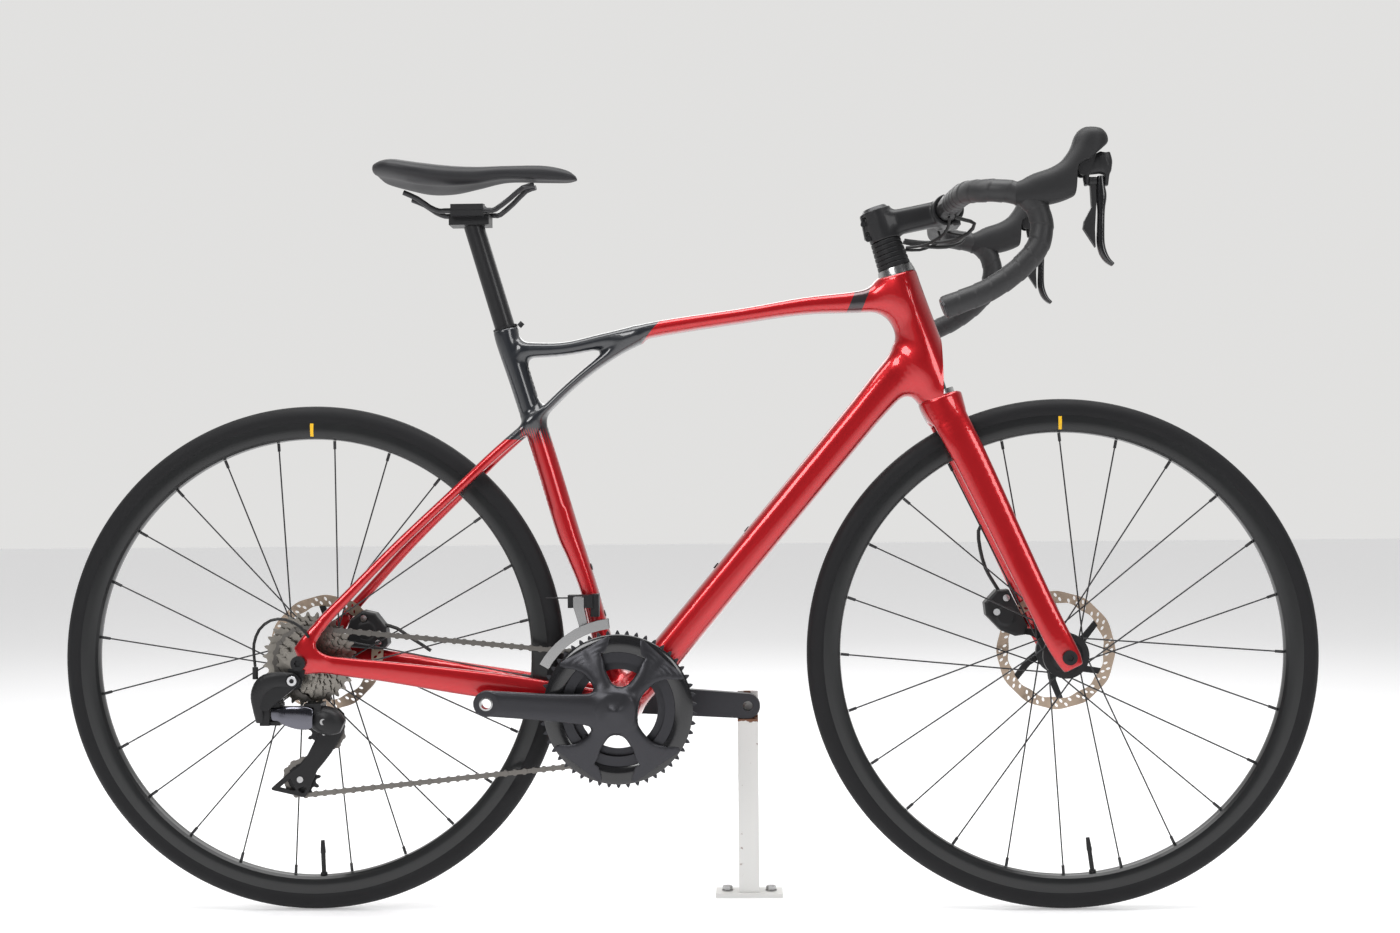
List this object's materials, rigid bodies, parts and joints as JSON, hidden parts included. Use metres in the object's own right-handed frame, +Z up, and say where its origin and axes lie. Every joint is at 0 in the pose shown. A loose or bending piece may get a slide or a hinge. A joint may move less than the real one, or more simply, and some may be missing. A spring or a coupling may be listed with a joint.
{
  "type": "bicycle on stand",
  "caption": "Drop-bar road bicycle with disc brakes, no pedals, held upright by its left crank on a square steel post stand.",
  "frame": {"origin": "on the ground, midway between the axles, on the centre plane of the bicycle", "axes": "+X forward, +Y to the bicycle's left (away from the chain), +Z up"},
  "size_m": [1.6759, 0.4568, 1.0033],
  "materials": {
    "carbon_red": "clear-coated metallic red",
    "carbon_black": "satin black carbon",
    "black_alu": "black anodised",
    "grey_alu": "dark grey anodised",
    "steel": "bare steel",
    "rotor_steel": "heat-tinted steel",
    "tyre": "matt rubber",
    "rubber": "soft rubber",
    "tape": "wound tape",
    "hose": "black hose",
    "plastic": "black moulded plastic",
    "saddle_cover": "smooth black cover over foam",
    "stand_steel": "white paint, raw saw-cut edge"
  },
  "bodies": {
    "frame": {"head_tube": "carbon_red", "top_tube": "carbon_red", "down_tube": "carbon_red", "seat_tube": "carbon_red", "bb_shell": "carbon_red", "seat_stays": "carbon_red", "chain_stays": "carbon_red", "dropouts": "black_alu", "rear_thru_axle": "black_alu", "frame_bearings": "steel", "frame_hardware": "black_alu", "rear_caliper": "black_alu", "frame_cables": "hose", "fd_base": "grey_alu", "rd_base": "black_alu", "chain": "steel"},
    "front_derailleur_cage": {"fd_cage": "steel"},
    "fork": {"fork_crown": "carbon_red", "fork_blades": "carbon_red", "headset_spacers": "black_alu", "stem": "black_alu", "stem_bolts": "steel", "handlebar": "black_alu", "bar_tape": "tape", "hoods": "rubber", "lever_brackets": "plastic", "front_caliper": "black_alu", "front_hoses": "hose", "front_thru_axle": "black_alu"},
    "carrier_right": {"lever_carrier_right": "plastic"},
    "carrier_left": {"lever_carrier_left": "plastic"},
    "blade_right": {"brake_blade_right": "black_alu"},
    "blade_left": {"brake_blade_left": "black_alu"},
    "paddle_right": {"shift_paddle_right": "plastic"},
    "paddle_left": {"shift_paddle_left": "plastic"},
    "front_wheel": {"front_tyre": "tyre", "front_rim": "black_alu", "front_spokes": "steel", "front_hub": "black_alu", "front_rotor": "rotor_steel"},
    "rear_wheel": {"rear_tyre": "tyre", "rear_rim": "black_alu", "rear_spokes": "steel", "rear_hub": "black_alu", "rear_rotor": "rotor_steel"},
    "sprockets": {"cassette": "steel"},
    "crankset": {"crank_right": "grey_alu", "crank_left": "grey_alu", "chainrings": "black_alu"},
    "rd_outer": {"rd_outer_link": "grey_alu"},
    "rd_inner": {"rd_inner_link": "black_alu"},
    "rd_lower": {"rd_knuckle": "black_alu"},
    "rd_swing": {"rd_cage": "black_alu"},
    "pulley_guide": {"guide_pulley": "plastic"},
    "pulley_tension": {"tension_pulley": "plastic"},
    "seat_post": {"seatpost": "carbon_black"},
    "seat": {"saddle_rails": "steel", "saddle": "saddle_cover"},
    "post_stand": {"stand": "stand_steel", "stand_bolts": "steel"}
  },
  "joints": [
    {"name": "steering", "type": "hinge", "parent": "frame", "child": "fork", "pos_m": [0.31472, 0, 0.75937], "axis": [-0.309, 0, 0.9511], "range_deg": [-60, 60]},
    {"name": "front_wheel_spin", "type": "hinge", "parent": "fork", "child": "front_wheel", "pos_m": [0.5, 0, 0.338], "axis": [0, 1, 0], "continuous": true},
    {"name": "rear_wheel_spin", "type": "hinge", "parent": "frame", "child": "rear_wheel", "pos_m": [-0.5, 0, 0.338], "axis": [0, 1, 0], "continuous": true},
    {"name": "crank_spin", "type": "hinge", "parent": "frame", "child": "crankset", "pos_m": [-0.08724, 0, 0.272], "axis": [0, -1, 0], "range_deg": [0, 300], "deforming": ["chain"]},
    {"name": "sprocket_spin", "type": "hinge", "parent": "frame", "child": "sprockets", "pos_m": [-0.5, 0, 0.338], "axis": [0, -1, 0], "range_deg": [-10, 500], "deforming": ["chain"]},
    {"name": "brake_pull_right", "type": "hinge", "parent": "fork", "child": "carrier_right", "pos_m": [0.494, -0.21, 0.941], "axis": [0, 1, 0], "range_deg": [0, 14], "stiffness_Nm_per_rad": 1.2, "springref_deg": -20.05},
    {"name": "brake_swing_right", "type": "hinge", "parent": "carrier_right", "child": "blade_right", "pos_m": [0.5146, -0.21, 0.928], "axis": [1, 0, 0], "range_deg": [0, 14], "stiffness_Nm_per_rad": 0.8, "springref_deg": -17.19},
    {"name": "shift_paddle_swing_right", "type": "hinge", "parent": "carrier_right", "child": "paddle_right", "pos_m": [0.5056, -0.21, 0.928], "axis": [1, 0, 0], "range_deg": [0, 16], "stiffness_Nm_per_rad": 0.5, "springref_deg": -17.19},
    {"name": "brake_pull_left", "type": "hinge", "parent": "fork", "child": "carrier_left", "pos_m": [0.494, 0.21, 0.941], "axis": [0, 1, 0], "range_deg": [0, 14], "stiffness_Nm_per_rad": 1.2, "springref_deg": -20.05},
    {"name": "brake_swing_left", "type": "hinge", "parent": "carrier_left", "child": "blade_left", "pos_m": [0.5146, 0.21, 0.928], "axis": [1, 0, 0], "range_deg": [-14, 0], "stiffness_Nm_per_rad": 0.8, "springref_deg": 17.19},
    {"name": "shift_paddle_swing_left", "type": "hinge", "parent": "carrier_left", "child": "paddle_left", "pos_m": [0.5056, 0.21, 0.928], "axis": [1, 0, 0], "range_deg": [-16, 0], "stiffness_Nm_per_rad": 0.5, "springref_deg": 17.19},
    {"name": "front_derailleur_swing", "type": "hinge", "parent": "frame", "child": "front_derailleur_cage", "pos_m": [-0.139, -0.025, 0.411], "axis": [1, 0, 0], "range_deg": [-2, 6], "stiffness_Nm_per_rad": 3, "deforming": ["chain"]},
    {"name": "rear_derailleur_shift", "type": "hinge", "parent": "frame", "child": "rd_outer", "pos_m": [-0.531, -0.076, 0.271], "axis": [0, 0, 1], "range_deg": [-30, 10], "deforming": ["chain"]},
    {"name": "rear_derailleur_inner_link", "type": "hinge", "parent": "frame", "child": "rd_inner", "pos_m": [-0.531, -0.064, 0.271], "axis": [0, 0, 1], "range_deg": [-30, 10]},
    {"name": "rear_derailleur_knuckle", "type": "hinge", "parent": "rd_outer", "child": "rd_lower", "pos_m": [-0.488, -0.076, 0.271], "axis": [0, 0, 1], "range_deg": [-10, 30]},
    {"name": "rear_derailleur_cage_swing", "type": "hinge", "parent": "rd_lower", "child": "rd_swing", "pos_m": [-0.468, -0.06, 0.262], "axis": [0, 1, 0], "range_deg": [-8, 20], "stiffness_Nm_per_rad": 0.6, "deforming": ["chain"]},
    {"name": "guide_pulley_spin", "type": "hinge", "parent": "rd_swing", "child": "pulley_guide", "pos_m": [-0.4758, -0.04, 0.242], "axis": [0, -1, 0], "range_deg": [-1100, 60]},
    {"name": "tension_pulley_spin", "type": "hinge", "parent": "rd_swing", "child": "pulley_tension", "pos_m": [-0.50776, -0.04, 0.1815], "axis": [0, -1, 0], "range_deg": [-60, 1100]},
    {"name": "seatpost_height", "type": "slide", "parent": "frame", "child": "seat_post", "axis": [-0.2874, 0, 0.9578], "range_m": [-0.05, 0.03]},
    {"name": "saddle_fore_aft", "type": "slide", "parent": "seat_post", "child": "seat", "axis": [1, 0, 0], "range_m": [-0.008, 0.008]},
    {"name": "stand_pull_away", "type": "slide", "parent": "frame", "child": "post_stand", "axis": [0, 1, 0], "range_m": [0, 0.08]}
  ],
  "couplings": [
    {"joint": "sprocket_spin", "follows": "crank_spin", "ratio": 1.619},
    {"joint": "guide_pulley_spin", "follows": "crank_spin", "ratio": -3.0909},
    {"joint": "tension_pulley_spin", "follows": "crank_spin", "ratio": 3.0909},
    {"joint": "rear_derailleur_inner_link", "follows": "rear_derailleur_shift", "ratio": 1},
    {"joint": "rear_derailleur_knuckle", "follows": "rear_derailleur_shift", "ratio": -1}
  ]
}
